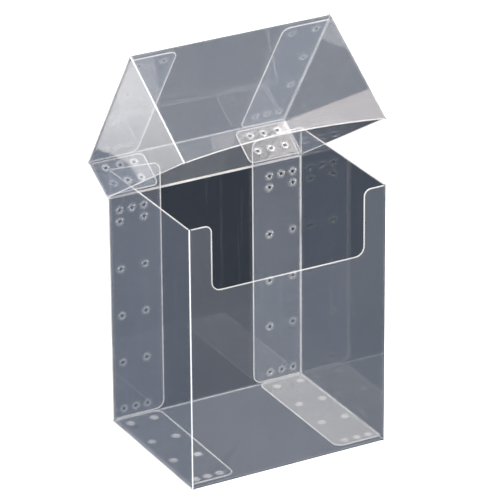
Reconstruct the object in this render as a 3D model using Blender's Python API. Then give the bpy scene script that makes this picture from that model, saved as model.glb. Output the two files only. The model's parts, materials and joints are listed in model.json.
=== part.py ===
"""Clear deck box for playing cards: a creased plastic sheet folded into a box with a hinged lid.

Frame: X is the width, Y the depth with +Y towards the hinge, and Z is up. The origin is the
centre of the base, on the surface that the box stands on. All sizes are in metres.

The lid is modelled closed, in a frame on the hinge's axis, and then swung open with it.
"""

import math

import bmesh
import bpy
from mathutils import Matrix, Vector

# The sheet
SHEET = 0.0004                 # thickness of the plastic
LAYER_GAP = 0.00025            # between a tab and the panel that it is welded to
FOLD_RADIUS = 0.0005           # outer radius of a creased corner
CREASE_GAP = 0.0002            # between a panel and the crease beside it

# The box
BOX_WIDTH = 0.071
BOX_DEPTH = 0.0556
BOX_HEIGHT = 0.091
HINGE_HEIGHT = 0.0805          # the back panel ends here and the lid's back strip begins
NOTCH_HALF_WIDTH = 0.0274
NOTCH_BOTTOM = 0.0683
NOTCH_RADIUS = 0.003
EAR_RADIUS = 0.0025            # the rounded corner on either side of the notch's mouth

# The lid, as it lies when it is closed
LID_WIDTH = 0.0724
LID_DEPTH = 0.05755
LID_RISE = 0.0149              # from the hinge to the lid's top
FLAP_DROP = 0.0424             # from the lid's top to the flap's corners
FLAP_ARCH = 0.0024             # how far the flap's lower edge rises in the middle
HINGE_OFFSET = 0.0002          # the hinge's axis stands this far behind the back panel
LID_OPEN_ANGLE = math.radians(56.7)

# The tabs
REAR_TAB_INNER = 0.0169        # distance of each tab's free edge from the middle
BOTTOM_TAB_INNER = 0.0187
TOP_TAB_INNER = 0.0190
STRIP_TAB_INNER = 0.0169
REAR_TAB_SETBACK = 0.0004      # room behind the rear tabs for the lid's own tabs
REAR_TAB_SLOPE = 0.0012        # how far the rear tabs' upper edge falls towards the middle
TAB_RADIUS = 0.003
TAB_END_GAP = 0.0016           # from the end of a tab to the crease beyond it
BOTTOM_TAB_FRONT_GAP = 0.0021

# The spot welds
WELD_RADIUS = 0.0006
WELD_DEPTH = 0.0002
WELD_SIDES = 10
WELD_OUTER = 0.0320            # distances of the three columns of welds from the middle
WELD_MIDDLE = 0.0276
WELD_INNER = 0.0232

ARC_STEPS = 6
FOLD_STEPS = 5
HINGE_FILM_RADIUS = 0.00015
HINGE_FILM_SIDES = 12

# Where the faces of the box lie
HALF_WIDTH = BOX_WIDTH / 2
FRONT = -BOX_DEPTH / 2
BACK = BOX_DEPTH / 2
PANEL_INSET = FOLD_RADIUS + CREASE_GAP      # from a fold's outer corner to the panel's edge
FLOOR_TOP = SHEET + LAYER_GAP               # underside of the bottom tabs
TAB_BACK = BACK - SHEET - REAR_TAB_SETBACK  # rear face of the rear tabs
TAB_FLOOR = FLOOR_TOP + SHEET + LAYER_GAP   # lowest point of what stands on the bottom tabs

# Where the faces of the closed lid lie, from the hinge's axis
LID_HALF_WIDTH = LID_WIDTH / 2
LID_BACK = SHEET / 2
LID_FRONT = LID_BACK - LID_DEPTH
LID_TAB_TOP = LID_RISE - SHEET - LAYER_GAP
LID_TAB_BACK = LID_BACK - SHEET - LAYER_GAP
FLAP_CORNER = LID_RISE - FLAP_DROP

SIDES = (("left", -1), ("right", 1))

# A flat piece lies square to one axis; these are the directions of its outline's two axes.
OUTLINE_AXES = {
    "X": (Vector((0, 1, 0)), Vector((0, 0, 1))),
    "Y": (Vector((1, 0, 0)), Vector((0, 0, 1))),
    "Z": (Vector((1, 0, 0)), Vector((0, 1, 0))),
}
AXES = {"X": Vector((1, 0, 0)), "Y": Vector((0, 1, 0)), "Z": Vector((0, 0, 1))}

PANEL_COLOUR = (0.62, 0.66, 0.71, 1)
TAB_COLOUR = (0.72, 0.75, 0.79, 1)
FOLD_COLOUR = (0.93, 0.94, 0.95, 1)


# ---------------------------------------------------------------------------------------
# Scene and materials
# ---------------------------------------------------------------------------------------

def clear_scene():
    for thing in list(bpy.data.objects):
        bpy.data.objects.remove(thing, do_unlink=True)


def new_collection(name):
    collection = bpy.data.collections.new(name)
    bpy.context.scene.collection.children.link(collection)
    return collection


def clear_plastic(name, colour, roughness):
    """Glossy see-through sheet."""
    material = bpy.data.materials.new(name)
    material.use_nodes = True
    shader = material.node_tree.nodes["Principled BSDF"]
    shader.inputs["Base Color"].default_value = colour
    shader.inputs["Metallic"].default_value = 0.0
    shader.inputs["Roughness"].default_value = roughness
    shader.inputs["Alpha"].default_value = 0.45
    return material


# ---------------------------------------------------------------------------------------
# Outlines
# ---------------------------------------------------------------------------------------

def rounded(corners):
    """Outline of a polygon whose corners are (u, v, radius), with each radius as an arc."""
    points = []
    for index, (u, v, radius) in enumerate(corners):
        corner = Vector((u, v))
        if radius == 0:
            points.append(corner)
            continue
        before = Vector(corners[index - 1][:2]) - corner
        after = Vector(corners[(index + 1) % len(corners)][:2]) - corner
        before.normalize()
        after.normalize()
        half_angle = before.angle(after) / 2
        reach = radius / math.tan(half_angle)
        centre = corner + (before + after).normalized() * radius / math.sin(half_angle)
        start = corner + before * reach - centre
        finish = corner + after * reach - centre
        turn = start.angle_signed(finish)
        for step in range(ARC_STEPS + 1):
            angle = -turn * step / ARC_STEPS
            points.append(centre + Matrix.Rotation(angle, 2) @ start)
    return points


def mirrored(corners, side):
    """The same corners on the left (side -1) or on the right (side 1) of the middle."""
    return [(side * u, v, radius) for u, v, radius in corners]


def fold_outline(corner_u, corner_v, inward_u, inward_v):
    """Section of a creased corner: a quarter ring as thick as the sheet."""
    centre = Vector((corner_u + inward_u * FOLD_RADIUS, corner_v + inward_v * FOLD_RADIUS))
    directions = []
    for step in range(FOLD_STEPS + 1):
        angle = math.pi / 2 * step / FOLD_STEPS
        directions.append(Vector((-inward_u * math.cos(angle), -inward_v * math.sin(angle))))
    outside = [centre + direction * FOLD_RADIUS for direction in directions]
    inside = [centre + direction * (FOLD_RADIUS - SHEET) for direction in reversed(directions)]
    return outside + inside


def arched_flap_outline(half_width, corner, top):
    """The front flap: square above, with a shallow arch along its lower edge."""
    arch_radius = (half_width ** 2 + FLAP_ARCH ** 2) / (2 * FLAP_ARCH)
    half_angle = math.asin(half_width / arch_radius)
    arch_steps = 2 * ARC_STEPS
    points = [Vector((half_width, top)), Vector((-half_width, top))]
    for step in range(arch_steps + 1):
        angle = half_angle * (2 * step / arch_steps - 1)
        sag = arch_radius * (math.cos(angle) - math.cos(half_angle))
        points.append(Vector((arch_radius * math.sin(angle), corner + sag)))
    return points


# ---------------------------------------------------------------------------------------
# Solids
# ---------------------------------------------------------------------------------------

def lay_matrix(axis, offset):
    """Stands an outline square to an axis, at a distance along it."""
    across, up = OUTLINE_AXES[axis]
    normal = across.cross(up)
    matrix = Matrix((across, up, normal)).transposed().to_4x4()
    matrix.translation = AXES[axis] * offset
    return matrix


def extruded(name, outline, axis, low, high, colour, collection, parent=None):
    """A solid with the given outline, from low to high along the axis that it is square to."""
    curve = bpy.data.curves.new(name + "_outline", "CURVE")
    curve.dimensions = "2D"
    curve.fill_mode = "BOTH"
    curve.extrude = (high - low) / 2
    spline = curve.splines.new("POLY")
    spline.points.add(len(outline) - 1)
    for place, point in zip(spline.points, outline):
        place.co = (point.x, point.y, 0, 1)
    spline.use_cyclic_u = True
    template = bpy.data.objects.new(name + "_outline", curve)
    collection.objects.link(template)
    evaluated = template.evaluated_get(bpy.context.evaluated_depsgraph_get())
    mesh = bpy.data.meshes.new_from_object(evaluated)
    bpy.data.objects.remove(template, do_unlink=True)
    bpy.data.curves.remove(curve)

    shape = bmesh.new()
    shape.from_mesh(mesh)
    bmesh.ops.remove_doubles(shape, verts=shape.verts, dist=1e-6)
    bmesh.ops.recalc_face_normals(shape, faces=shape.faces)
    shape.to_mesh(mesh)
    shape.free()

    mesh.name = name
    solid = bpy.data.objects.new(name, mesh)
    solid.matrix_basis = lay_matrix(axis, (low + high) / 2)
    solid.parent = parent
    mesh.materials.append(clear_plastic(name + "_plastic", colour, 0.12))
    collection.objects.link(solid)
    return solid


def weld_pits(tab, spots, surface, inward, collection):
    """Presses round pits into one face of a tab, at (u, v) places on its outline."""
    shape = bmesh.new()
    for u, v in spots:
        pit = bmesh.ops.create_cone(
            shape, cap_ends=True, segments=WELD_SIDES,
            radius1=WELD_RADIUS, radius2=WELD_RADIUS, depth=2 * WELD_DEPTH)
        bmesh.ops.translate(shape, verts=pit["verts"], vec=(u, v, 0))
    mesh = bpy.data.meshes.new(tab.name + "_pits")
    shape.to_mesh(mesh)
    shape.free()

    cutter = bpy.data.objects.new(tab.name + "_pits", mesh)
    cutter.matrix_basis = lay_matrix(inward, surface)
    cutter.parent = tab.parent
    cutter.hide_render = True
    cutter.display_type = "WIRE"
    collection.objects.link(cutter)

    cut = tab.modifiers.new("weld_pits", "BOOLEAN")
    cut.operation = "DIFFERENCE"
    cut.solver = "EXACT"
    cut.object = cutter


def hinge_film(collection):
    """The thin bead of sheet that bends where the lid joins the back panel."""
    shape = bmesh.new()
    length = BOX_WIDTH - 2 * PANEL_INSET
    bmesh.ops.create_cone(
        shape, cap_ends=True, segments=HINGE_FILM_SIDES,
        radius1=HINGE_FILM_RADIUS, radius2=HINGE_FILM_RADIUS, depth=length)
    mesh = bpy.data.meshes.new("lid_hinge_crease")
    shape.to_mesh(mesh)
    shape.free()
    mesh.materials.append(clear_plastic("lid_hinge_crease_plastic", FOLD_COLOUR, 0.12))
    film = bpy.data.objects.new("lid_hinge_crease", mesh)
    film.location = (0, BACK + HINGE_OFFSET, HINGE_HEIGHT)
    film.rotation_euler = (0, math.pi / 2, 0)
    collection.objects.link(film)


# ---------------------------------------------------------------------------------------
# The box
# ---------------------------------------------------------------------------------------

def box_panels(collection):
    """Front with its thumb notch, back, bottom and the two sides."""
    front_edge = HALF_WIDTH - PANEL_INSET
    front = rounded([
        (-front_edge, PANEL_INSET, 0),
        (front_edge, PANEL_INSET, 0),
        (front_edge, BOX_HEIGHT, 0),
        (NOTCH_HALF_WIDTH, BOX_HEIGHT, EAR_RADIUS),
        (NOTCH_HALF_WIDTH, NOTCH_BOTTOM, NOTCH_RADIUS),
        (-NOTCH_HALF_WIDTH, NOTCH_BOTTOM, NOTCH_RADIUS),
        (-NOTCH_HALF_WIDTH, BOX_HEIGHT, EAR_RADIUS),
        (-front_edge, BOX_HEIGHT, 0),
    ])
    extruded("front_panel", front, "Y", FRONT, FRONT + SHEET, PANEL_COLOUR, collection)

    back_top = HINGE_HEIGHT - CREASE_GAP
    back = rounded([
        (-HALF_WIDTH, PANEL_INSET, 0),
        (HALF_WIDTH, PANEL_INSET, 0),
        (HALF_WIDTH, back_top, 0),
        (-HALF_WIDTH, back_top, 0),
    ])
    extruded("back_panel", back, "Y", BACK - SHEET, BACK, PANEL_COLOUR, collection)

    bottom = rounded([
        (-HALF_WIDTH, FRONT + PANEL_INSET, 0),
        (HALF_WIDTH, FRONT + PANEL_INSET, 0),
        (HALF_WIDTH, BACK - PANEL_INSET, 0),
        (-HALF_WIDTH, BACK - PANEL_INSET, 0),
    ])
    extruded("bottom_panel", bottom, "Z", 0, SHEET, PANEL_COLOUR, collection)

    side_outline = rounded([
        (FRONT + PANEL_INSET, FLOOR_TOP + PANEL_INSET, 0),
        (TAB_BACK - PANEL_INSET, FLOOR_TOP + PANEL_INSET, 0),
        (TAB_BACK - PANEL_INSET, BOX_HEIGHT, 0),
        (FRONT + PANEL_INSET, BOX_HEIGHT, 0),
    ])
    for name, side in SIDES:
        low, high = sorted((side * HALF_WIDTH, side * (HALF_WIDTH - SHEET)))
        extruded(name + "_side_panel", side_outline, "X", low, high, PANEL_COLOUR, collection)


def box_tabs(collection, cutters):
    """The tabs that fold off each side panel and are welded to the back and the bottom."""
    tab_edge = HALF_WIDTH - PANEL_INSET
    rear_tab = [
        (tab_edge, TAB_FLOOR, 0),
        (REAR_TAB_INNER, TAB_FLOOR, TAB_RADIUS),
        (REAR_TAB_INNER, BOX_HEIGHT - REAR_TAB_SLOPE, TAB_RADIUS),
        (tab_edge, BOX_HEIGHT, 0),
    ]
    bottom_tab = [
        (tab_edge, FRONT + BOTTOM_TAB_FRONT_GAP, 0),
        (BOTTOM_TAB_INNER, FRONT + BOTTOM_TAB_FRONT_GAP, TAB_RADIUS),
        (BOTTOM_TAB_INNER, TAB_BACK, TAB_RADIUS),
        (tab_edge, TAB_BACK, 0),
    ]
    three = (WELD_OUTER, WELD_MIDDLE, WELD_INNER)
    two = (WELD_OUTER, WELD_INNER)
    rear_rows = ((0.0045, three), (0.0214, two), (0.0383, two), (0.0551, two), (0.0720, two),
                 (0.0760, three))
    bottom_rows = ((-0.0233, three), (-0.0083, two), (0.0068, two), (0.0220, two))
    for name, side in SIDES:
        rear = extruded(
            name + "_rear_tab", rounded(mirrored(rear_tab, side)), "Y",
            TAB_BACK - SHEET, TAB_BACK, TAB_COLOUR, collection)
        spots = [(side * x, z) for z, columns in rear_rows for x in columns]
        weld_pits(rear, spots, TAB_BACK - SHEET, "Y", cutters)

        bottom = extruded(
            name + "_bottom_tab", rounded(mirrored(bottom_tab, side)), "Z",
            FLOOR_TOP, FLOOR_TOP + SHEET, TAB_COLOUR, collection)
        spots = [(side * x, y) for y, columns in bottom_rows for x in columns]
        weld_pits(bottom, spots, FLOOR_TOP + SHEET, "Z", cutters)


def box_folds(collection):
    """The creases between the box's panels and tabs."""
    across = HALF_WIDTH - PANEL_INSET
    extruded("bottom_front_fold", fold_outline(FRONT, 0, 1, 1), "X", -across, across,
             FOLD_COLOUR, collection)
    extruded("bottom_back_fold", fold_outline(BACK, 0, -1, 1), "X", -HALF_WIDTH, HALF_WIDTH,
             FOLD_COLOUR, collection)
    for name, side in SIDES:
        edge = side * HALF_WIDTH
        extruded(name + "_front_fold", fold_outline(edge, FRONT, -side, 1), "Z",
                 0, BOX_HEIGHT, FOLD_COLOUR, collection)
        extruded(name + "_rear_fold", fold_outline(edge, TAB_BACK, -side, -1), "Z",
                 FLOOR_TOP, BOX_HEIGHT, FOLD_COLOUR, collection)
        extruded(name + "_bottom_fold", fold_outline(edge, FLOOR_TOP, -side, 1), "Y",
                 FRONT + BOTTOM_TAB_FRONT_GAP, TAB_BACK - PANEL_INSET, FOLD_COLOUR, collection)


# ---------------------------------------------------------------------------------------
# The lid, in the frame of its hinge
# ---------------------------------------------------------------------------------------

def lid_panels(collection, pivot):
    """Back strip, top, front flap and the two sides, each as it lies on the closed box."""
    strip = rounded([
        (-HALF_WIDTH, CREASE_GAP, 0),
        (HALF_WIDTH, CREASE_GAP, 0),
        (LID_HALF_WIDTH, LID_RISE - PANEL_INSET, 0),
        (-LID_HALF_WIDTH, LID_RISE - PANEL_INSET, 0),
    ])
    extruded("lid_back_strip", strip, "Y", LID_BACK - SHEET, LID_BACK, PANEL_COLOUR,
             collection, pivot)

    top = rounded([
        (-LID_HALF_WIDTH, LID_FRONT + PANEL_INSET, 0),
        (LID_HALF_WIDTH, LID_FRONT + PANEL_INSET, 0),
        (LID_HALF_WIDTH, LID_BACK - PANEL_INSET, 0),
        (-LID_HALF_WIDTH, LID_BACK - PANEL_INSET, 0),
    ])
    extruded("lid_top_panel", top, "Z", LID_RISE - SHEET, LID_RISE, PANEL_COLOUR,
             collection, pivot)

    flap = arched_flap_outline(LID_HALF_WIDTH - PANEL_INSET, FLAP_CORNER,
                               LID_RISE - PANEL_INSET)
    extruded("lid_front_flap", flap, "Y", LID_FRONT, LID_FRONT + SHEET, PANEL_COLOUR,
             collection, pivot)

    side_top = LID_TAB_TOP - PANEL_INSET
    side_front = LID_FRONT + PANEL_INSET
    side_back = LID_TAB_BACK - PANEL_INSET
    fall = FLAP_CORNER / LID_FRONT          # the lower edge runs straight up to the hinge
    side_outline = rounded([
        (side_front, fall * side_front, 0),
        (side_back, fall * side_back, 0),
        (side_back, side_top, 0),
        (side_front, side_top, 0),
    ])
    for name, side in SIDES:
        low, high = sorted((side * LID_HALF_WIDTH, side * (LID_HALF_WIDTH - SHEET)))
        extruded("lid_" + name + "_side_panel", side_outline, "X", low, high, PANEL_COLOUR,
                 collection, pivot)


def lid_tabs(collection, cutters, pivot):
    """The tabs that fold off the lid's sides and are welded to its top and back strip."""
    tab_edge = LID_HALF_WIDTH - PANEL_INSET
    top_tab = [
        (tab_edge, LID_FRONT + TAB_END_GAP, 0),
        (TOP_TAB_INNER, LID_FRONT + TAB_END_GAP, TAB_RADIUS),
        (TOP_TAB_INNER, LID_TAB_BACK - PANEL_INSET, TAB_RADIUS),
        (tab_edge, LID_TAB_BACK - PANEL_INSET, 0),
    ]
    strip_low = 2 * CREASE_GAP
    strip_high = LID_TAB_TOP - SHEET - LAYER_GAP
    strip_radius = 0.002
    strip_tab = [
        (tab_edge, strip_low, 0),
        (STRIP_TAB_INNER, strip_low, strip_radius),
        (STRIP_TAB_INNER, strip_high, strip_radius),
        (tab_edge, strip_high, 0),
    ]
    three = (WELD_OUTER, WELD_MIDDLE, WELD_INNER)
    top_rows = ((0.0072, three), (0.0220, (WELD_OUTER,)), (0.0370, (WELD_OUTER,)),
                (0.0523, (WELD_OUTER, WELD_INNER)))
    strip_columns = (0.0317, 0.0265, 0.0215)
    strip_rows = (0.0045, 0.0107)
    for name, side in SIDES:
        top = extruded(
            "lid_" + name + "_top_tab", rounded(mirrored(top_tab, side)), "Z",
            LID_TAB_TOP - SHEET, LID_TAB_TOP, TAB_COLOUR, collection, pivot)
        spots = [(side * x, LID_BACK - forward) for forward, columns in top_rows
                 for x in columns]
        weld_pits(top, spots, LID_TAB_TOP - SHEET, "Z", cutters)

        strip = extruded(
            "lid_" + name + "_strip_tab", rounded(mirrored(strip_tab, side)), "Y",
            LID_TAB_BACK - SHEET, LID_TAB_BACK, TAB_COLOUR, collection, pivot)
        spots = [(side * x, z) for z in strip_rows for x in strip_columns]
        weld_pits(strip, spots, LID_TAB_BACK - SHEET, "Y", cutters)


def lid_folds(collection, pivot):
    """The creases between the lid's panels and tabs."""
    across = LID_HALF_WIDTH - PANEL_INSET
    extruded("lid_rear_fold", fold_outline(LID_BACK, LID_RISE, -1, -1), "X",
             -LID_HALF_WIDTH, LID_HALF_WIDTH, FOLD_COLOUR, collection, pivot)
    extruded("lid_front_fold", fold_outline(LID_FRONT, LID_RISE, 1, -1), "X",
             -across, across, FOLD_COLOUR, collection, pivot)
    for name, side in SIDES:
        edge = side * LID_HALF_WIDTH
        extruded("lid_" + name + "_front_fold", fold_outline(edge, LID_FRONT, -side, 1), "Z",
                 FLAP_CORNER, LID_RISE, FOLD_COLOUR, collection, pivot)
        extruded("lid_" + name + "_top_fold", fold_outline(edge, LID_TAB_TOP, -side, -1), "Y",
                 LID_FRONT + TAB_END_GAP, LID_TAB_BACK - PANEL_INSET, FOLD_COLOUR,
                 collection, pivot)
        extruded("lid_" + name + "_strip_fold", fold_outline(edge, LID_TAB_BACK, -side, -1),
                 "Z", 2 * CREASE_GAP, LID_TAB_TOP, FOLD_COLOUR, collection, pivot)


def lid_pivot(collection):
    """The empty on the hinge's axis that carries the lid and swings it open."""
    pivot = bpy.data.objects.new("lid_pivot", None)
    pivot.location = (0, BACK + HINGE_OFFSET, HINGE_HEIGHT)
    pivot.rotation_euler = (-LID_OPEN_ANGLE, 0, 0)
    collection.objects.link(pivot)
    return pivot


def main():
    clear_scene()
    parts = new_collection("card_deck_box")
    cutters = new_collection("cutters")

    box_panels(parts)
    box_tabs(parts, cutters)
    box_folds(parts)
    hinge_film(parts)

    pivot = lid_pivot(parts)
    lid_panels(parts, pivot)
    lid_tabs(parts, cutters, pivot)
    lid_folds(parts, pivot)


main()
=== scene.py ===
import json
import math

import bmesh
import bpy
from mathutils import Matrix, Vector, noise
from mathutils.bvhtree import BVHTree

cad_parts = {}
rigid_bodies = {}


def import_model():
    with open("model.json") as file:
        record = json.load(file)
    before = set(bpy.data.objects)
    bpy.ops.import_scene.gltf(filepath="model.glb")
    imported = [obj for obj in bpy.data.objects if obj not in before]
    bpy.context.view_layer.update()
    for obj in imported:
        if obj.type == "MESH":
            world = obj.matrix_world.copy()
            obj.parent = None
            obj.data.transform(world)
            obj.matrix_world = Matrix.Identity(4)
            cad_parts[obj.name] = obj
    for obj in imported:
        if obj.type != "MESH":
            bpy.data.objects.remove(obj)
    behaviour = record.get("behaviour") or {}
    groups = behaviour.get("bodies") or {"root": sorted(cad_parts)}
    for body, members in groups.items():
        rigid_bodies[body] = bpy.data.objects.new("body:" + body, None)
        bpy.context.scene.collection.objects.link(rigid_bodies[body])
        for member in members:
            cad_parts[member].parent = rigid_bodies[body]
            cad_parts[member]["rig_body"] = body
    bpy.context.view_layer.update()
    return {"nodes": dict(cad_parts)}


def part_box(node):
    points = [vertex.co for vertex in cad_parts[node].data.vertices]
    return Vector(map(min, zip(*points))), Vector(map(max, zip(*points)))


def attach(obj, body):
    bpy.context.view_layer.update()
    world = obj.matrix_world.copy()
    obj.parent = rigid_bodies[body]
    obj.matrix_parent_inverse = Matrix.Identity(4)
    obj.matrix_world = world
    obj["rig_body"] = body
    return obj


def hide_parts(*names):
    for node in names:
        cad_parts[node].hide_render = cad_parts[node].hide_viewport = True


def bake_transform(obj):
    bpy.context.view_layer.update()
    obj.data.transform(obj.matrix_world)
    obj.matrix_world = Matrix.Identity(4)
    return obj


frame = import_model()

# ---------------------------------------------------------------------------------------
# Sizes, in metres
# ---------------------------------------------------------------------------------------

SHEET = 0.0004                  # thickness of the plastic
RIM_WIDTH = 0.00030             # the bright band along a cut edge: partly frosting, partly a painted glint
RIM_BEVEL = 0.00006
MERGE_DISTANCE = 1e-6
FLAT_ANGLE = math.radians(0.5)
SHARP_ANGLE = math.radians(50)
ALONG_SHEET = 0.5               # cosine past which a face lies along its sheet, not across it
CREASE_GAP = 0.00019            # from a crease to the panel beside it
CREASE_REACH = 0.00022          # an edge this near to a crease is folded, not cut

WELD_SIDES = 10                 # a pit's floor in the CAD tab has this many corners
WELD_PIT_DEPTH = 0.0002
WELD_STEPS = 12
WANDER_SCALE = 900
WELD_WANDER = 0.00016           # how far the flash strays from round
WELD_PIT_RADIUS = 0.00056
WELD_LIP_RADIUS = 0.00134
WELD_PROFILE = (                # radius and height above the tab, from the pit outwards
    (0.0, 0.00003),
    (0.00056, 0.00003),
    (0.00072, 0.00016),
    (0.00090, 0.00026),
    (0.00112, 0.00022),
    (0.00134, 0.00007),
    (0.00150, 0.00003),
    (0.00162, 0.00010),
    (0.00176, 0.00005),
    (0.00180, -0.00002),
    (0.0, -0.00002),
)

LOW_LIP = 0.4                   # the closed lid's strip tabs pass close to the rear tabs

WHITE_BEND_SPREAD = math.cos(math.radians(28))  # only the middle of a bend is white: stress whitening on the soft folds, a painted highlight on the two front-left folds
HINGE_THICKNESS = 0.00022       # the living hinge is pressed thinner than the sheet
HINGE_STEPS = 6

CAMERA_AZIMUTH = math.radians(-28.683)
CAMERA_ELEVATION = math.radians(24.567)
CAMERA_ROLL = math.radians(-0.411)
CAMERA_DISTANCE = 1.3371
CAMERA_LENS = 297.53
CAMERA_AIM_HEIGHT = 0.0455
CAMERA_AIM_RIGHT = 0.00094
CAMERA_AIM_UP = 0.01797

# ---------------------------------------------------------------------------------------
# Finishes, with painted highlights, glints, reflections and shade
# ---------------------------------------------------------------------------------------

BEHIND_PLASTIC = (0.010, 0.013, 0.017, 1)   # the surround, where it is seen through a sheet
SEEN_DIRECTLY = (1.0, 1.0, 1.0, 1)
PALE_FLOOR = (0.93, 0.93, 0.93, 1)
FLOOR_LIFT = 0.5                # glow that keeps the floor pale where the box shades it
SKY_RISE = (0.25, 0.9)          # heights over which the sky goes from low to high
SKY_LOW = (0.32, 0.325, 0.35, 1)
SKY_HIGH = (1.24, 1.25, 1.27, 1)
SKY_FOR_HAZE = (0.86, 0.87, 0.92, 1)
# Floor tones seen only in reflections, dark round the box and glowing bright beyond it: a painted
# reflection
FLOOR_NEAR = (0.205, 0.23, 0.275, 1)
FLOOR_MIDDLE = (1.14, 1.09, 1.02, 1)
FLOOR_FAR = (1.82, 1.73, 1.60, 1)
FLOOR_SIZE = 3
FLOOR_RISE = (0.245, 0.300)     # distance over which the floor goes from middling to bright
CIRCLE_EDGE = 0.0006            # half the width over which a circle's rim fades
REFLECTION_DARK_CIRCLES = (                # centre x, centre y, radius of each circle round the box where the floor is dark in reflections
    (0.0, 0.0, 0.217),
    (-0.096, 0.217, 0.043),
    (-0.104, 0.175, 0.028),
    (0.05, 0.23, 0.18),
    (0.07, -0.12, 0.15),
)

MOST_LAYERS = 64                # sheet faces that one line of sight may pass through
BRIGHTEST_BOUNCE = 2.0          # limit on indirect light, which keeps down stray bright dots

KEY_PLACE = (-0.55, -0.55, 0.9)
KEY_TURN = (math.radians(43), 0, math.radians(-45))
KEY_SIZE = (0.7, 0.7)
KEY_POWER = 8.0
WHITE = (1, 1, 1)
WARM = (1, 0.84, 0.72)
WARM_CARDS = {                  # place, turn, size and power of each small light above the box
    "strip_card": ((0.133, 0.0405, 0.25), 0.0, (0.094, 0.025), 0.0115),
    "tab_card": ((0.141, 0.022, 0.25), 0.0, (0.078, 0.012), 0.0045),
    "flap_card": ((0.120, -0.0475, 0.25), math.radians(8), (0.100, 0.056), 0.046),
}

FACE_MIRROR = 0.068             # how much a sheet's face mirrors when seen square on
EDGE_MIRROR = 1.75              # and what is added to that towards edge-on
CLEAR_TINT = (0.84, 0.88, 0.96, 1)
TAB_TINT = (0.90, 0.87, 0.82, 1)
# tabs given the warm tint instead of the clear one
WARM_TINTED_TABS = ("right_bottom_tab", "lid_right_strip_tab")
HAZE_AND_PAINTED_TONE = {                        # cloudiness, set sheet by sheet where it differs from the usual: partly real, partly painted light and shade that makes one sheet lighter or darker than another
    "front_panel": 0.040,
    "back_panel": 0.003,
    "left_side_panel": 0.014,
    "right_side_panel": 0.006,
    "bottom_panel": 0.040,
    "left_rear_tab": 0.045,
    "right_rear_tab": 0.072,
    "left_bottom_tab": 0.001,
    "right_bottom_tab": 0.150,
    "lid_left_strip_tab": 0.05,
    "lid_right_strip_tab": 0.07,
}
USUAL_HAZE = 0.015
GLOSS = {                       # share of the usual gloss, where a sheet shows less of it
    "left_bottom_tab": 0.1,
    "lid_right_side_panel": 0.8,
}
BOW = {                         # how far a sheet's gloss bows, where it differs
    "lid_top_panel": 0.0005,
    "lid_front_flap": 0.00016,
    "lid_left_side_panel": 0.00004,
    "left_side_panel": 0.00006,
}
USUAL_BOW = 0.00022
HAIRLINE_STRENGTH = 0.015
SHEET_ROUGHNESS = 0.02
SCUFF_ROUGHNESS = 2.0           # roughness added by each unit of scuffing
SHEET_RIPPLE = 0.06
CLOUD_SCALE = 16
HAIRLINE_TURN = (0.6, 0.9, 0.4)  # slanted, so that no line runs along a panel's edge
HAIRLINE_SCALE = (480, 480, 30)
DUST_SCALE = 210
BOW_SCALE = 17
RIPPLE_SCALE = 75
PATCH_SCALE = 90
GRAIN_SCALE = 1500
GRAIN_DEPTH = 0.00003
EDGE_SHARPNESS = 5.0            # how late the gloss rises towards edge-on

# Whitened and melted plastic, with painted highlights, glints and shade: colour, cover,
# patchiness, roughness and mirror
STRESS_AND_PAINTED_LIGHT = {
    # near white along cut edges: partly frosting, partly a painted glint where the edge would
    # catch the light
    "cut_edge_frost_and_glint": ((0.97, 0.94, 0.90, 1), 0.62, 0.25, 0.35, 0.0),
    "soft_fold": ((0.99, 0.95, 0.90, 1), 0.55, 0.35, 0.25, 0.0),
    # pure white on the two front-left folds: a painted highlight
    "painted_highlight_fold": ((1.0, 1.0, 1.0, 1), 0.97, 0.03, 0.4, 0.0),
    # near black in the pit: painted shade
    "painted_shade_weld_pit": ((0.03, 0.033, 0.04, 1), 0.85, 0.1, 0.3, 0.0),
    # light and warm over the whole bottom weld: a painted highlight
    "painted_highlight_weld": ((0.95, 0.90, 0.84, 1), 0.45, 0.2, 0.3, 0.0),
    "weld_lip": ((0.92, 0.91, 0.90, 1), 0.70, 0.2, 0.14, 0.9),
    "weld_flash": ((0.85, 0.87, 0.9, 1), 0.09, 0.5, 0.1, 0.0),
}
# folds whose white bend is a painted highlight
PAINTED_HIGHLIGHT_FOLDS = ("left_front_fold", "lid_left_front_fold")


# ---------------------------------------------------------------------------------------
# Camera
# ---------------------------------------------------------------------------------------

def add_camera():
    away = Vector((
        math.sin(CAMERA_AZIMUTH) * math.cos(CAMERA_ELEVATION),
        -math.cos(CAMERA_AZIMUTH) * math.cos(CAMERA_ELEVATION),
        math.sin(CAMERA_ELEVATION)))
    level_right = Vector((math.cos(CAMERA_AZIMUTH), math.sin(CAMERA_AZIMUTH), 0))
    level_up = away.cross(level_right)
    right = level_right * math.cos(CAMERA_ROLL) + level_up * math.sin(CAMERA_ROLL)
    up = level_up * math.cos(CAMERA_ROLL) - level_right * math.sin(CAMERA_ROLL)
    aim = Vector((0, 0, CAMERA_AIM_HEIGHT)) + right * CAMERA_AIM_RIGHT + up * CAMERA_AIM_UP
    data = bpy.data.cameras.new("product_view")
    data.lens = CAMERA_LENS
    data.sensor_width = 36
    data.clip_start = 0.05
    data.clip_end = 20
    camera = bpy.data.objects.new("camera", data)
    turn = Matrix((right, up, away)).transposed().to_4x4()
    turn.translation = aim + away * CAMERA_DISTANCE
    camera.matrix_world = turn
    bpy.context.scene.collection.objects.link(camera)
    bpy.context.scene.camera = camera


# ---------------------------------------------------------------------------------------
# Node helpers
# ---------------------------------------------------------------------------------------

def new_material(name):
    material = bpy.data.materials.new(name)
    material.use_nodes = True
    material.node_tree.nodes.clear()
    return material, material.node_tree.nodes, material.node_tree.links


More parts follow.
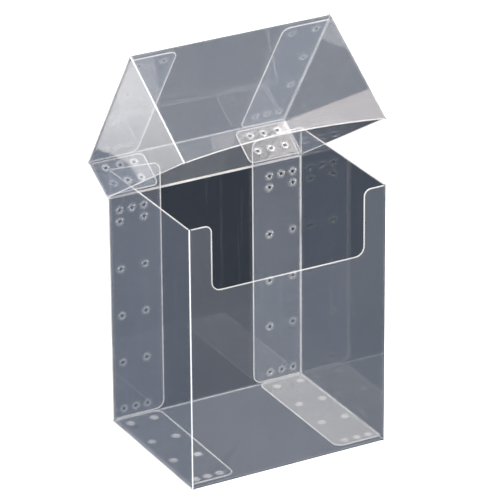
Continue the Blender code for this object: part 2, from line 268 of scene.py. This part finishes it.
def math_node(nodes, links, operation, *values):
    """A Math node: each value is a number or a socket to link."""
    node = nodes.new("ShaderNodeMath")
    node.operation = operation
    for socket, value in zip(node.inputs, values):
        if isinstance(value, (int, float)):
            socket.default_value = value
        else:
            links.new(value, socket)
    return node.outputs[0]


def noise_node(nodes, links, vector, scale, detail=0.0):
    node = nodes.new("ShaderNodeTexNoise")
    node.inputs["Scale"].default_value = scale
    node.inputs["Detail"].default_value = detail
    links.new(vector, node.inputs["Vector"])
    return node.outputs["Fac"]


def range_node(nodes, links, value, low, high, to_low=0.0, to_high=1.0):
    node = nodes.new("ShaderNodeMapRange")
    node.inputs["From Min"].default_value = low
    node.inputs["From Max"].default_value = high
    node.inputs["To Min"].default_value = to_low
    node.inputs["To Max"].default_value = to_high
    links.new(value, node.inputs["Value"])
    return node.outputs["Result"]


def new_group(name, inputs, outputs):
    """A shader node group with named sockets; returns it with its inner input and output."""
    group = bpy.data.node_groups.new(name, "ShaderNodeTree")
    for socket, kind in inputs:
        group.interface.new_socket(name=socket, in_out="INPUT", socket_type=kind)
    for socket, kind in outputs:
        group.interface.new_socket(name=socket, in_out="OUTPUT", socket_type=kind)
    return group, group.nodes.new("NodeGroupInput"), group.nodes.new("NodeGroupOutput")


def place_group(nodes, links, group, vector, **values):
    node = nodes.new("ShaderNodeGroup")
    node.node_tree = group
    links.new(vector, node.inputs["Vector"])
    for socket, value in values.items():
        node.inputs[socket].default_value = value
    return node


# ---------------------------------------------------------------------------------------
# Effects that several materials share
# ---------------------------------------------------------------------------------------

def handling_marks_group():
    """Uneven cloudiness, fine hairlines and a few specks of dust on clear sheet."""
    group, given, result = new_group(
        "handling_marks",
        [("Vector", "NodeSocketVector"), ("Haze", "NodeSocketFloat"),
         ("Scuffs", "NodeSocketFloat"), ("Roughness", "NodeSocketFloat")],
        [("Haze", "NodeSocketFloat"), ("Roughness", "NodeSocketFloat")])
    nodes, links = group.nodes, group.links
    vector = given.outputs["Vector"]
    clouds = range_node(nodes, links, noise_node(nodes, links, vector, CLOUD_SCALE, 3),
                        0.3, 0.7, 0.75, 1.25)
    stretched = nodes.new("ShaderNodeMapping")
    stretched.inputs["Rotation"].default_value = HAIRLINE_TURN
    stretched.inputs["Scale"].default_value = HAIRLINE_SCALE
    links.new(vector, stretched.inputs["Vector"])
    hairlines = range_node(
        nodes, links, noise_node(nodes, links, stretched.outputs[0], 1.0, 1), 0.68, 0.74)
    specks = nodes.new("ShaderNodeTexVoronoi")
    specks.inputs["Scale"].default_value = DUST_SCALE
    links.new(vector, specks.inputs["Vector"])
    dust = range_node(nodes, links, specks.outputs["Distance"], 0.05, 0.035)
    marks = math_node(nodes, links, "ADD", hairlines, dust)
    scuffed = math_node(nodes, links, "MULTIPLY", marks, given.outputs["Scuffs"])
    cloudy = math_node(nodes, links, "MULTIPLY", clouds, given.outputs["Haze"])
    links.new(math_node(nodes, links, "ADD", cloudy, scuffed), result.inputs["Haze"])
    rough = math_node(nodes, links, "MULTIPLY_ADD", scuffed, SCUFF_ROUGHNESS,
                      given.outputs["Roughness"])
    links.new(rough, result.inputs["Roughness"])
    return group


def flex_waves_group():
    """The slow bow of a thin sheet, with the faint ripple left by the rollers."""
    group, given, result = new_group(
        "flex_waves",
        [("Vector", "NodeSocketVector"), ("Ripple", "NodeSocketFloat")],
        [("Height", "NodeSocketFloat")])
    nodes, links = group.nodes, group.links
    vector = given.outputs["Vector"]
    bow = noise_node(nodes, links, vector, BOW_SCALE)
    ripple = noise_node(nodes, links, vector, RIPPLE_SCALE)
    height = math_node(nodes, links, "MULTIPLY_ADD", ripple, given.outputs["Ripple"], bow)
    links.new(height, result.inputs["Height"])
    return group


def stress_and_painted_light_group():
    """Patchy cover where the sheet is bent, cut or melted, and its fine grain: it carries real
    whitening and the painted highlights, glints and shade of those marks.
    """
    group, given, result = new_group(
        "stress_and_painted_light_marks",
        [("Vector", "NodeSocketVector"), ("Cover", "NodeSocketFloat"),
         ("Patchiness", "NodeSocketFloat")],
        [("Cover", "NodeSocketFloat"), ("Height", "NodeSocketFloat")])
    nodes, links = group.nodes, group.links
    vector = given.outputs["Vector"]
    patches = range_node(nodes, links, noise_node(nodes, links, vector, PATCH_SCALE, 2),
                         0.3, 0.7, -1.0, 1.0)
    grain = noise_node(nodes, links, vector, GRAIN_SCALE, 1)
    change = math_node(nodes, links, "MULTIPLY", patches, given.outputs["Patchiness"])
    share = math_node(nodes, links, "ADD", change, 1.0)
    links.new(math_node(nodes, links, "MULTIPLY", share, given.outputs["Cover"]),
              result.inputs["Cover"])
    links.new(grain, result.inputs["Height"])
    return group


# ---------------------------------------------------------------------------------------
# Materials of the box
# ---------------------------------------------------------------------------------------

def add_bump(nodes, links, height, distance):
    bump = nodes.new("ShaderNodeBump")
    bump.inputs["Distance"].default_value = distance
    links.new(height, bump.inputs["Height"])
    return bump.outputs[0]


def clear_sheet(name, tint, haze_and_painted_tone, gloss, bow, marks, waves):
    """Clear plastic: each face mirrors a little, more when seen edge-on, over a thin cloudiness
    whose amount, given sheet by sheet, is partly real and partly painted light and shade.
    """
    material, nodes, links = new_material(name)
    place = nodes.new("ShaderNodeTexCoord")
    handled = place_group(nodes, links, marks, place.outputs["Object"],
                          Haze=haze_and_painted_tone, Scuffs=HAIRLINE_STRENGTH,
                          Roughness=SHEET_ROUGHNESS)
    flexed = place_group(nodes, links, waves, place.outputs["Object"], Ripple=SHEET_RIPPLE)
    normal = add_bump(nodes, links, flexed.outputs["Height"], bow)

    facing = nodes.new("ShaderNodeLayerWeight")
    facing.inputs["Blend"].default_value = 0.5
    edge_on = math_node(nodes, links, "POWER", facing.outputs["Facing"], EDGE_SHARPNESS)
    mirrored = math_node(nodes, links, "MULTIPLY_ADD", edge_on,
                         EDGE_MIRROR * gloss, FACE_MIRROR * gloss)
    kept = math_node(nodes, links, "ADD", mirrored, handled.outputs["Haze"])
    mirror_share = math_node(nodes, links, "DIVIDE", mirrored, kept)

    shader = nodes.new("ShaderNodeBsdfPrincipled")
    shader.inputs["Base Color"].default_value = tint
    shader.inputs["Specular IOR Level"].default_value = 0
    links.new(kept, shader.inputs["Alpha"])
    links.new(mirror_share, shader.inputs["Metallic"])
    links.new(handled.outputs["Roughness"], shader.inputs["Roughness"])
    links.new(normal, shader.inputs["Normal"])
    output = nodes.new("ShaderNodeOutputMaterial")
    links.new(shader.outputs[0], output.inputs["Surface"])
    return material


def stress_and_painted_light_plastic(name, stress_and_light_mask):
    """Plastic that a cut, a fold or a weld has turned from clear to cloudy, with a painted glint
    on cut edges, painted highlights on the front-left folds and bottom welds, and painted shade in
    the other weld pits.
    """
    colour, cover, patchiness, roughness, mirror = STRESS_AND_PAINTED_LIGHT[name]
    material, nodes, links = new_material(name)
    place = nodes.new("ShaderNodeTexCoord")
    marked = place_group(nodes, links, stress_and_light_mask, place.outputs["Object"],
                         Cover=cover, Patchiness=patchiness)
    normal = add_bump(nodes, links, marked.outputs["Height"], GRAIN_DEPTH)
    shader = nodes.new("ShaderNodeBsdfPrincipled")
    shader.inputs["Base Color"].default_value = colour
    shader.inputs["Roughness"].default_value = roughness
    shader.inputs["Metallic"].default_value = mirror
    links.new(marked.outputs["Cover"], shader.inputs["Alpha"])
    links.new(normal, shader.inputs["Normal"])
    output = nodes.new("ShaderNodeOutputMaterial")
    links.new(shader.outputs[0], output.inputs["Surface"])
    return material


# ---------------------------------------------------------------------------------------
# Stage
# ---------------------------------------------------------------------------------------

def seen_directly(nodes, links):
    """1 where the camera sees the surface with no plastic in front of it, else 0."""
    path = nodes.new("ShaderNodeLightPath")
    clear = math_node(nodes, links, "LESS_THAN", path.outputs["Transparent Depth"], 0.5)
    return path, clear


def pick_colour(nodes, links, factor, first, second):
    """The first colour at factor 0 and the second at 1; each is a colour or a socket."""
    node = nodes.new("ShaderNodeMix")
    node.data_type = "RGBA"
    links.new(factor, node.inputs["Factor"])
    for socket, value in ((node.inputs["A"], first), (node.inputs["B"], second)):
        if isinstance(value, tuple):
            socket.default_value = value
        else:
            links.new(value, socket)
    return node.outputs["Result"]


def add_world():
    """White where it is seen directly, dark behind the plastic, and a soft sky for its gloss."""
    world = bpy.data.worlds.new("studio")
    world.use_nodes = True
    nodes, links = world.node_tree.nodes, world.node_tree.links
    nodes.clear()
    path, clear = seen_directly(nodes, links)
    seen = pick_colour(nodes, links, clear, BEHIND_PLASTIC, SEEN_DIRECTLY)
    place = nodes.new("ShaderNodeTexCoord")
    split = nodes.new("ShaderNodeSeparateXYZ")
    links.new(place.outputs["Generated"], split.inputs[0])
    height = range_node(nodes, links, split.outputs["Z"], *SKY_RISE)
    sky = pick_colour(nodes, links, height, SKY_LOW, SKY_HIGH)
    lit = pick_colour(nodes, links, path.outputs["Is Diffuse Ray"], sky, SKY_FOR_HAZE)
    pick = pick_colour(nodes, links, path.outputs["Is Camera Ray"], lit, seen)
    background = nodes.new("ShaderNodeBackground")
    links.new(pick, background.inputs["Color"])
    output = nodes.new("ShaderNodeOutputWorld")
    links.new(background.outputs[0], output.inputs[0])
    bpy.context.scene.world = world


def reflection_dark_mask(nodes, links):
    """1 inside the circles round the box where the floor is dark in reflections, 0 on the floor
    that glows bright in reflections beyond them.
    """
    place = nodes.new("ShaderNodeTexCoord")
    inside = None
    for x, y, radius in REFLECTION_DARK_CIRCLES:
        distance = nodes.new("ShaderNodeVectorMath")
        distance.operation = "DISTANCE"
        distance.inputs[1].default_value = (x, y, 0)
        links.new(place.outputs["Object"], distance.inputs[0])
        circle = range_node(nodes, links, distance.outputs["Value"],
                            radius + CIRCLE_EDGE, radius - CIRCLE_EDGE)
        inside = circle if inside is None else math_node(
            nodes, links, "MAXIMUM", inside, circle)
    return inside


def add_floor():
    """Pale where it is seen directly, dark behind the plastic, and two tones in its gloss: in
    reflections only, it is dark round the box and glows bright beyond it, a painted reflection.
    """
    material, nodes, links = new_material("floor")
    path, clear = seen_directly(nodes, links)
    pale = nodes.new("ShaderNodeBsdfDiffuse")
    pale.inputs["Color"].default_value = PALE_FLOOR
    glow = nodes.new("ShaderNodeEmission")
    glow.inputs["Strength"].default_value = FLOOR_LIFT
    lit = nodes.new("ShaderNodeAddShader")
    links.new(pale.outputs[0], lit.inputs[0])
    links.new(glow.outputs[0], lit.inputs[1])
    dark = nodes.new("ShaderNodeEmission")
    dark.inputs["Color"].default_value = BEHIND_PLASTIC
    through = nodes.new("ShaderNodeMixShader")
    links.new(clear, through.inputs[0])
    links.new(dark.outputs[0], through.inputs[1])
    links.new(lit.outputs[0], through.inputs[2])
    place = nodes.new("ShaderNodeTexCoord")
    far_off = nodes.new("ShaderNodeVectorMath")
    far_off.operation = "LENGTH"
    links.new(place.outputs["Object"], far_off.inputs[0])
    rise = range_node(nodes, links, far_off.outputs["Value"], *FLOOR_RISE)
    floor_tone = pick_colour(nodes, links, rise, FLOOR_MIDDLE, FLOOR_FAR)
    # the floor's tone in reflections: a painted reflection
    reflected_floor_tone = pick_colour(nodes, links, reflection_dark_mask(nodes, links), floor_tone, FLOOR_NEAR)
    bounced = pick_colour(nodes, links, path.outputs["Is Diffuse Ray"], reflected_floor_tone, SKY_FOR_HAZE)
    mirrored = nodes.new("ShaderNodeEmission")
    links.new(bounced, mirrored.inputs["Color"])
    pick = nodes.new("ShaderNodeMixShader")
    links.new(path.outputs["Is Camera Ray"], pick.inputs[0])
    links.new(mirrored.outputs[0], pick.inputs[1])
    links.new(through.outputs[0], pick.inputs[2])
    output = nodes.new("ShaderNodeOutputMaterial")
    links.new(pick.outputs[0], output.inputs["Surface"])

    shape = bmesh.new()
    bmesh.ops.create_grid(shape, x_segments=1, y_segments=1, size=FLOOR_SIZE)
    mesh = bpy.data.meshes.new("floor")
    shape.to_mesh(mesh)
    shape.free()
    mesh.materials.append(material)
    floor = bpy.data.objects.new("floor", mesh)
    bpy.context.scene.collection.objects.link(floor)


def add_light(name, place, turn, size, power, colour):
    data = bpy.data.lights.new(name, "AREA")
    data.shape = "RECTANGLE"
    data.size, data.size_y = size
    data.energy = power
    data.color = colour
    light = bpy.data.objects.new(name, data)
    light.location = place
    light.rotation_euler = turn
    light.visible_camera = False
    bpy.context.scene.collection.objects.link(light)


# ---------------------------------------------------------------------------------------
# Pieces
# ---------------------------------------------------------------------------------------

def merged_copy(node):
    """The node's shape with its doubles merged and its flat neighbours joined."""
    shape = bmesh.new()
    shape.from_mesh(frame["nodes"][node].data)
    bmesh.ops.remove_doubles(shape, verts=shape.verts, dist=MERGE_DISTANCE)
    bmesh.ops.dissolve_limit(
        shape, angle_limit=FLAT_ANGLE, verts=shape.verts, edges=shape.edges)
    return shape


def finish_piece(name, shape, materials, smooth=False):
    mesh = bpy.data.meshes.new(name)
    shape.to_mesh(mesh)
    shape.free()
    for material in materials:
        mesh.materials.append(material)
    if smooth:
        mesh.shade_smooth()
        mesh.set_sharp_from_angle(angle=SHARP_ANGLE)
    piece = bpy.data.objects.new(name, mesh)
    bpy.context.scene.collection.objects.link(piece)
    return piece


def crease_tree(folds):
    """Every crease in one search tree, to tell a folded edge from a cut one."""
    creases = bmesh.new()
    for node in folds:
        creases.from_mesh(frame["nodes"][node].data)
    tree = BVHTree.FromBMesh(creases)
    creases.free()
    return tree


def is_cut(edge, creases):
    middle = (edge.verts[0].co + edge.verts[1].co) / 2
    return creases.find_nearest(middle, CREASE_REACH)[0] is None


def make_sheet(node, materials, creases):
    """A panel or tab with a bright band along its cut edges, partly frosting and partly a painted
    glint, and a softened rim.

    Only the node's widest face is kept, and the thickness is given to it again after the
    band is inset, so that the band is the same on both sides.
    """
    shape = merged_copy(node)
    face = max(shape.faces, key=lambda face: face.calc_area())
    normal = face.normal.copy()
    others = [other for other in shape.faces if other is not face]
    bmesh.ops.delete(shape, geom=others, context="FACES")
    border = bmesh.ops.inset_region(
        shape, faces=shape.faces[:], thickness=RIM_WIDTH, use_boundary=True,
        use_even_offset=True)["faces"]
    for side in border:
        outer = [edge for edge in side.edges if edge.is_boundary]
        side.material_index = 1 if any(is_cut(edge, creases) for edge in outer) else 0
    raised = bmesh.ops.extrude_face_region(shape, geom=shape.faces[:])["geom"]
    corners = [item for item in raised if isinstance(item, bmesh.types.BMVert)]
    bmesh.ops.translate(shape, verts=corners, vec=-normal * SHEET)
    bmesh.ops.recalc_face_normals(shape, faces=shape.faces)
    walls = [side for side in shape.faces if abs(side.normal.dot(normal)) < ALONG_SHEET]
    rims = []
    for wall in walls:
        for edge in wall.edges:
            caps = [side for side in edge.link_faces if abs(side.normal.dot(normal)) > ALONG_SHEET]
            if caps:
                wall.material_index = caps[0].material_index
                rims.append(edge)
    bmesh.ops.bevel(shape, geom=rims, offset=RIM_BEVEL, affect="EDGES", segments=1,
                    profile=0.5, material=-1)
    piece = finish_piece(node + "_sheet", shape, materials)
    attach(piece, frame["nodes"][node]["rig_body"])
    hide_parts(node)


def make_fold(node, materials):
    """A rounded crease, white at its bend, that reaches the panels on both its sides; on the
    front-left folds the white is a painted highlight, on the others stress whitening.
    """
    shape = merged_copy(node)
    ends = sorted(shape.faces, key=lambda face: face.calc_area())[-2:]
    bisector = (ends[0].normal + ends[1].normal).normalized()
    bend = [face for face in shape.faces
            if face not in ends and abs(face.normal.dot(bisector)) > WHITE_BEND_SPREAD]
    for end in bmesh.ops.extrude_discrete_faces(shape, faces=ends)["faces"]:
        bmesh.ops.translate(shape, verts=end.verts, vec=end.normal * CREASE_GAP)
    for face in shape.faces:
        face.material_index = 0 if face in bend else 1
    piece = finish_piece(node + "_bead", shape, materials, smooth=True)
    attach(piece, frame["nodes"][node]["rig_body"])
    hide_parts(node)


def add_weld(shape, centre, normal, lip_share, seed):
    """One spot weld: a pit, its raised lip, and the thin flash squeezed out round it."""
    along = normal.orthogonal().normalized()
    profile = [shape.verts.new(centre + along * radius + normal * height * lip_share)
               for radius, height in WELD_PROFILE]
    edges = [shape.edges.new(pair) for pair in zip(profile, profile[1:])]
    before = set(shape.faces)
    bmesh.ops.spin(
        shape, geom=profile + edges, cent=centre, axis=normal, angle=math.tau,
        steps=WELD_STEPS, use_merge=True)
    faces = [face for face in shape.faces if face not in before]
    corners = {vert for face in faces for vert in face.verts}
    for vert in corners:
        out = vert.co - centre
        out -= normal * out.dot(normal)
        if out.length > WELD_PIT_RADIUS:
            stray = noise.noise(vert.co * WANDER_SCALE + Vector((seed, 0, 0)))
            vert.co += out.normalized() * stray * WELD_WANDER
    # index 0 is the pit: painted shade on the side and strip tabs, a painted highlight on the
    # bottom tabs
    for face in faces:
        out = face.calc_center_median() - centre
        height = out.dot(normal)
        out -= normal * height
        if height < 0 or out.length > WELD_LIP_RADIUS:
            face.material_index = 2
        elif out.length > WELD_PIT_RADIUS:
            face.material_index = 1


def make_welds(node, materials):
    """The weld marks on one tab, each where the tab has its pit."""
    tab = merged_copy(node)
    shape = bmesh.new()
    pits = [face for face in tab.faces if len(face.verts) == WELD_SIDES]
    lip_share = LOW_LIP if node.endswith("_strip_tab") else 1.0
    for seed, pit in enumerate(pits):
        surface = pit.calc_center_median() + pit.normal * WELD_PIT_DEPTH
        add_weld(shape, surface, pit.normal.copy(), lip_share, seed)
    tab.free()
    bmesh.ops.remove_doubles(shape, verts=shape.verts, dist=MERGE_DISTANCE)
    bmesh.ops.recalc_face_normals(shape, faces=shape.faces)
    piece = finish_piece(node + "_welds", shape, materials, smooth=True)
    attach(piece, frame["nodes"][node]["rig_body"])


def make_hinge(material):
    """The living hinge: a thin film from the back panel's top to the lid's strip."""
    low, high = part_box("back_panel")
    edge_low = Vector((0, (low[1] + high[1]) / 2, high[2]))
    strip = merged_copy("lid_back_strip")
    nearest = sorted(strip.verts, key=lambda vert: (vert.co.yz - edge_low.yz).length)[:4]
    edge_high = sum((vert.co for vert in nearest), Vector()) / len(nearest)
    edge_high.x = 0
    half_width = min(abs(vert.co.x) for vert in nearest)
    strip.free()

    shape = bmesh.new()
    bmesh.ops.create_grid(shape, x_segments=1, y_segments=HINGE_STEPS, size=1)
    for vert in shape.verts:
        share = (vert.co.y + 1) / 2
        point = edge_low.lerp(edge_high, share)
        vert.co = Vector((vert.co.x * half_width, point.y, point.z))
    bmesh.ops.solidify(shape, geom=shape.faces[:], thickness=HINGE_THICKNESS)
    bmesh.ops.recalc_face_normals(shape, faces=shape.faces)
    piece = finish_piece("living_hinge", shape, [material], smooth=True)
    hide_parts("lid_hinge_crease")
    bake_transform(piece)


PANELS = [name for name in frame["nodes"] if name.endswith(("_panel", "_strip", "_flap"))]
TABS = [name for name in frame["nodes"] if name.endswith("_tab")]
FOLDS = [name for name in frame["nodes"] if name.endswith("_fold")]


def main():
    add_camera()
    add_world()
    add_floor()
    scene = bpy.context.scene
    scene.view_settings.view_transform = "Standard"
    scene.cycles.transparent_max_bounces = MOST_LAYERS
    scene.cycles.sample_clamp_indirect = BRIGHTEST_BOUNCE
    scene.cycles.denoising_input_passes = "RGB"

    add_light("key", KEY_PLACE, KEY_TURN, KEY_SIZE, KEY_POWER, WHITE)
    for name, (place, turn, size, power) in WARM_CARDS.items():
        add_light(name, place, (0, 0, turn), size, power, WARM)

    marks = handling_marks_group()
    waves = flex_waves_group()
    stress_and_light_mask = stress_and_painted_light_group()
    stress_and_light_materials = {name: stress_and_painted_light_plastic(name, stress_and_light_mask) for name in STRESS_AND_PAINTED_LIGHT}
    fold_side = clear_sheet("fold_side", CLEAR_TINT, USUAL_HAZE, 1.0, USUAL_BOW, marks, waves)

    creases = crease_tree(FOLDS + ["lid_hinge_crease"])
    for node in PANELS + TABS:
        # each sheet's own cloudiness: partly real, partly painted light and shade
        haze_and_painted_tone = HAZE_AND_PAINTED_TONE.get(node, USUAL_HAZE)
        tint = TAB_TINT if node in WARM_TINTED_TABS else CLEAR_TINT
        sheet = clear_sheet(
            "clear_" + node, tint, haze_and_painted_tone, GLOSS.get(node, 1.0), BOW.get(node, USUAL_BOW),
            marks, waves)
        make_sheet(node, [sheet, stress_and_light_materials["cut_edge_frost_and_glint"]], creases)
    for node in TABS:
        # bottom tabs' welds are painted light as a highlight; the other tabs' pits are painted
        # dark as shade
        if "bottom" in node:
            kinds = ("painted_highlight_weld", "painted_highlight_weld", "weld_flash")
        else:
            kinds = ("painted_shade_weld_pit", "weld_lip", "weld_flash")
        make_welds(node, [stress_and_light_materials[kind] for kind in kinds])
    for node in FOLDS:
        bend = stress_and_light_materials["painted_highlight_fold" if node in PAINTED_HIGHLIGHT_FOLDS else "soft_fold"]
        make_fold(node, [bend, fold_side])
    make_hinge(stress_and_light_materials["soft_fold"])


main()
